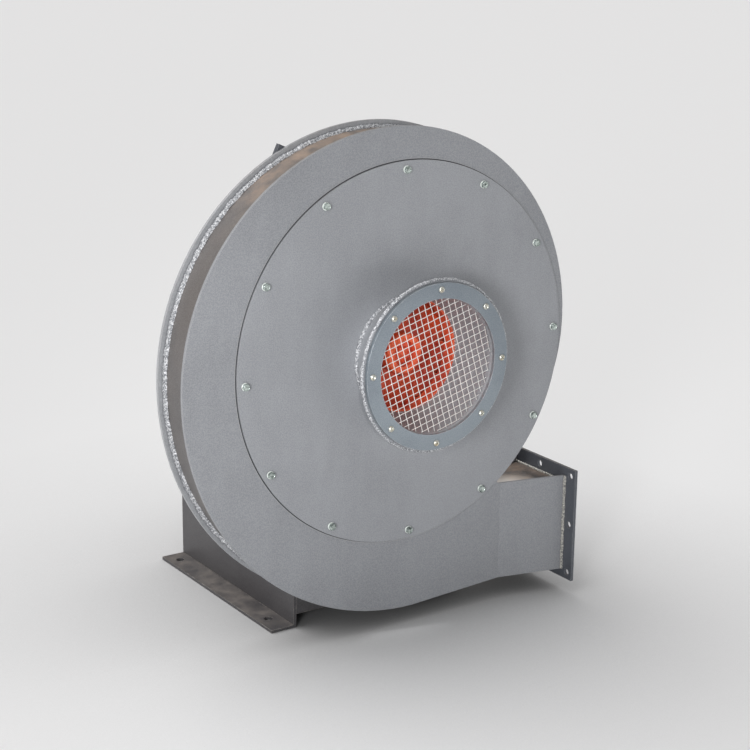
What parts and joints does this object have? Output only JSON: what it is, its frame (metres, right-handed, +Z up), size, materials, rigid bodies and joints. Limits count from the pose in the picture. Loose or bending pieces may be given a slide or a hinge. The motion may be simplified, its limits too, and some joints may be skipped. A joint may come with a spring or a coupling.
{
  "type": "industrial centrifugal blower",
  "caption": "Centrifugal blower with a scroll casing, a guarded round inlet, a flanged side outlet and a foot mounted motor on a sheet steel base.",
  "frame": {"origin": "centre of the four foot holes, on the floor", "axes": "+X towards the outlet flange, +Y back along the shaft from the inlet to the motor, +Z up"},
  "size_m": [0.6825, 0.526, 0.781],
  "materials": {
    "casing_paint": "grey satin paint",
    "weld_bead": "painted weld bead",
    "dark_paint": "dark grey satin paint",
    "zinc": "zinc plated",
    "guard_wire": "galvanized wire",
    "steel": "machined",
    "red_paint": "red satin paint",
    "rotor_metal": "cast",
    "copper": "varnished copper",
    "motor_paint": "slate grey paint",
    "black_plastic": "moulded"
  },
  "bodies": {
    "frame": {"casing_front_plate": "casing_paint", "casing_rear_plate": "casing_paint", "scroll_wall": "casing_paint", "cover_plate": "casing_paint", "inlet_collar": "casing_paint", "base_side_left": "casing_paint", "base_side_right": "casing_paint", "base_front_panel": "casing_paint", "base_rear_panel": "casing_paint", "motor_platform": "casing_paint", "scroll_welds": "weld_bead", "outlet_welds": "weld_bead", "collar_weld": "weld_bead", "outlet_flange": "dark_paint", "inlet_ring": "dark_paint", "lifting_lug": "dark_paint", "cover_screws": "zinc", "cover_washers": "zinc", "ring_screws": "zinc", "seal_screws": "zinc", "end_shield_screws": "zinc", "cowl_screws": "zinc", "lid_screws": "zinc", "eye_bolt": "zinc", "motor_foot_bolts": "zinc", "motor_foot_washers": "zinc", "motor_foot_nuts": "zinc", "casing_bolts": "zinc", "casing_nuts": "zinc", "inlet_guard": "guard_wire", "shaft_seal_plate": "steel", "stator_core": "steel", "bearing_outer_races": "steel", "inlet_nozzle": "red_paint", "stator_windings": "copper", "motor_frame": "motor_paint", "drive_end_shield": "motor_paint", "rear_end_shield": "motor_paint", "fan_cowl": "motor_paint", "terminal_box": "motor_paint", "terminal_box_lid": "motor_paint", "cable_gland": "black_plastic"},
    "rotor": {"impeller_shroud": "red_paint", "impeller_blades": "red_paint", "impeller_back_disc": "red_paint", "impeller_hub": "red_paint", "hub_rivets": "steel", "shaft_key": "steel", "shaft_end_washer": "steel", "shaft_end_screw": "zinc", "motor_shaft": "steel", "rotor_core": "rotor_metal", "bearing_inner_races": "steel", "cooling_fan": "black_plastic"},
    "ball_cages": {"bearing_balls": "steel", "bearing_cages": "copper"}
  },
  "joints": [
    {"name": "rotor_spin", "type": "hinge", "parent": "frame", "child": "rotor", "pos_m": [0, 0, 0.437], "axis": [0, -1, 0], "continuous": true},
    {"name": "ball_orbit", "type": "hinge", "parent": "frame", "child": "ball_cages", "pos_m": [0, 0, 0.437], "axis": [0, -1, 0], "continuous": true}
  ],
  "couplings": [
    {"joint": "ball_orbit", "follows": "rotor_spin", "ratio": 0.3824}
  ]
}
